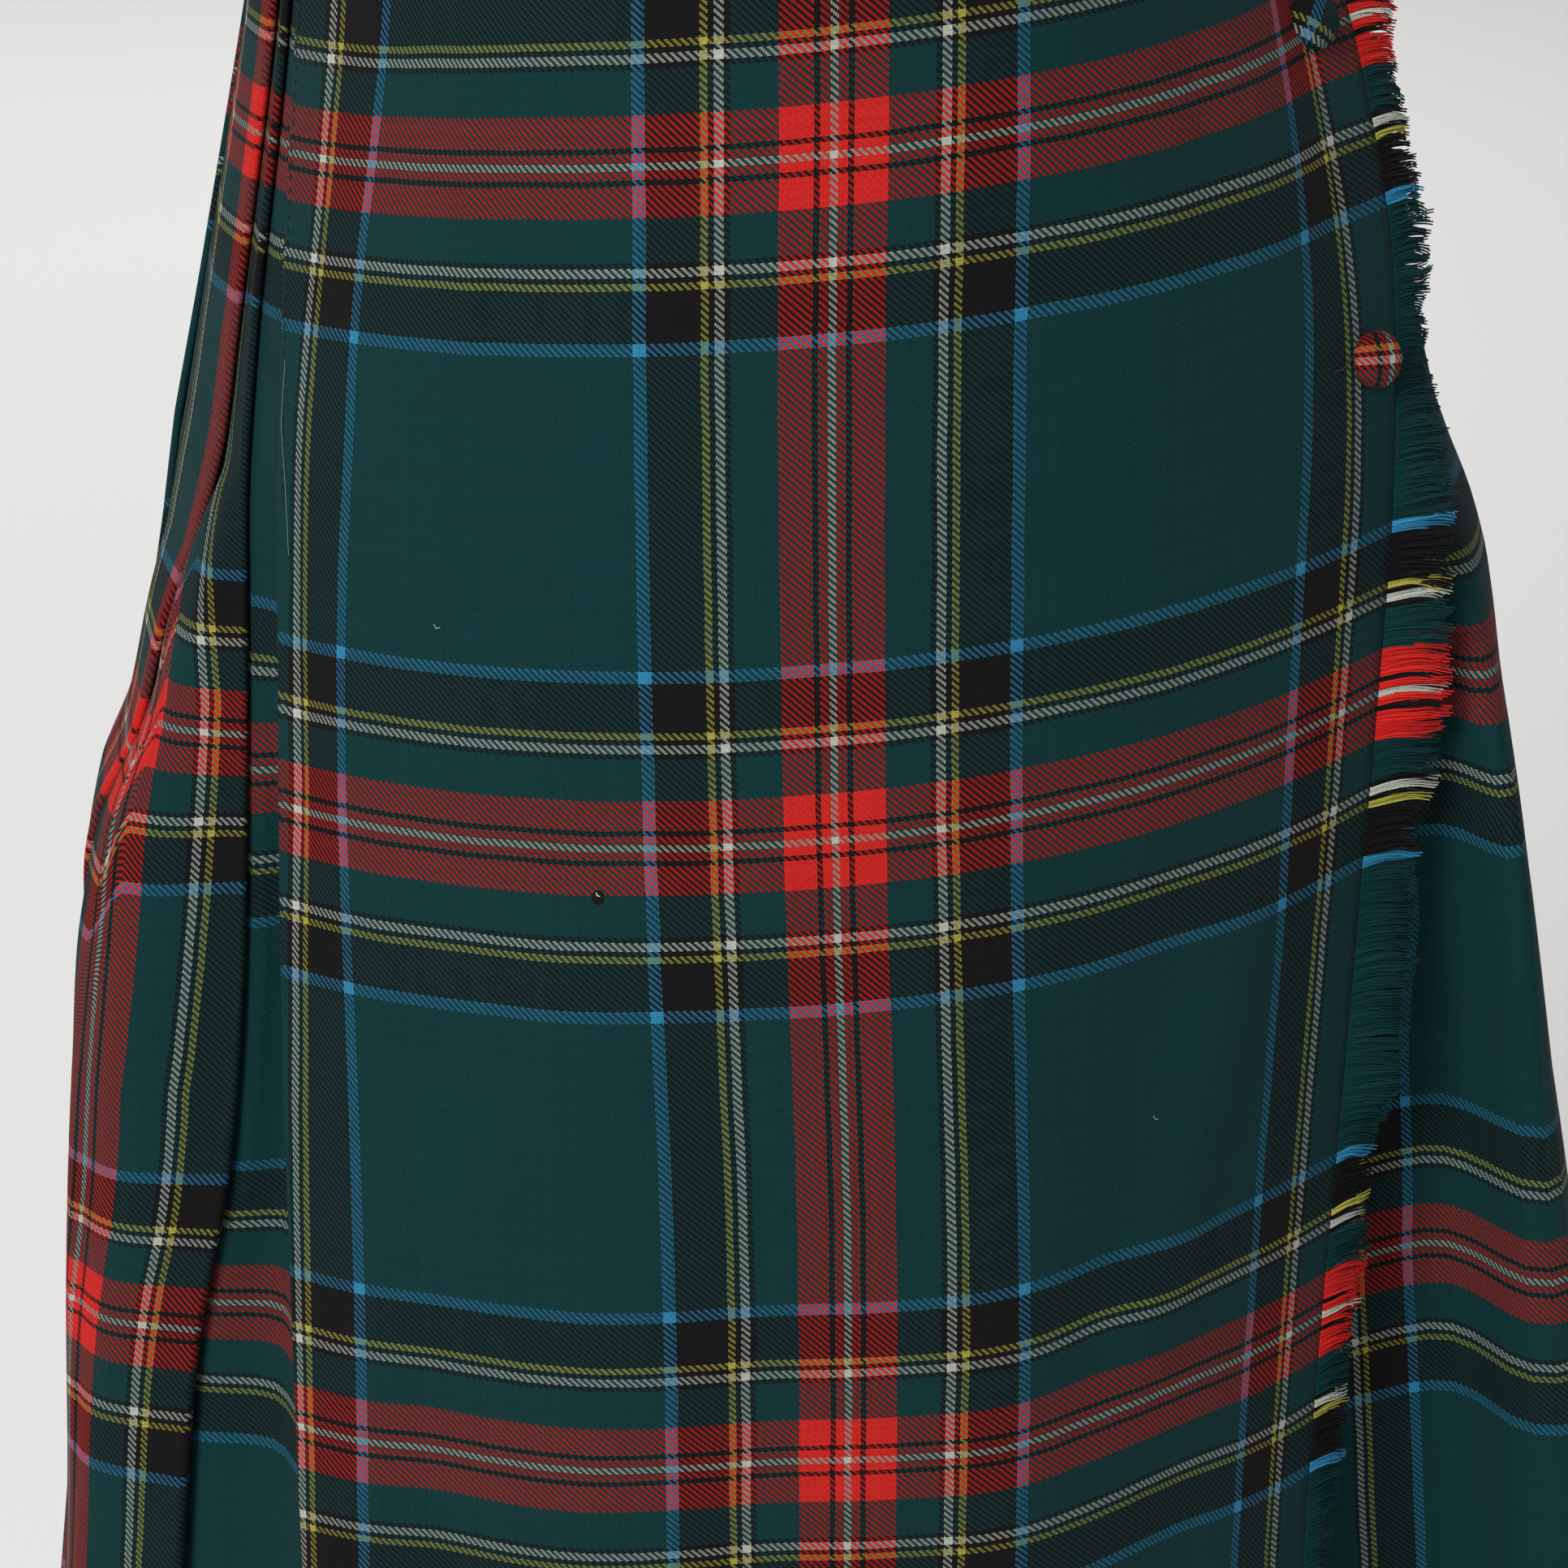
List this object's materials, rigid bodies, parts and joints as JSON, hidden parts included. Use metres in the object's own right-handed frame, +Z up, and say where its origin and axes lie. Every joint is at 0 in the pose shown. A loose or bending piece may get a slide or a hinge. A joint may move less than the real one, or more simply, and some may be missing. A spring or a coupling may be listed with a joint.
{
  "type": "pleated midi skirt",
  "caption": "Worn wrap skirt with a flat front apron, frayed wrap edge, covered buttons and knife pleats round the back, hollow from waist to hem.",
  "frame": {"origin": "centre of the waist opening, level with the waistband's top edge, where the wearer holds the skirt up", "axes": "+Z up, -Y towards the front apron, +X towards the fringed wrap edge, which is the wearer's left"},
  "size_m": [0.5448, 0.439, 0.78],
  "materials": {
    "check_cloth": "matt worsted wool twill",
    "fringe_yarn": "frayed wool yarn",
    "button_cover": "wool twill stretched over a dome"
  },
  "bodies": {
    "root": {"waistband": "check_cloth", "front_apron": "check_cloth", "under_apron": "check_cloth", "pleats_left": "check_cloth", "pleats_back_left": "check_cloth", "pleats_back_right": "check_cloth", "pleats_right": "check_cloth", "apron_fringe": "fringe_yarn", "button_waist": "button_cover", "button_upper": "button_cover", "button_lower": "button_cover"}
  },
  "joints": []
}
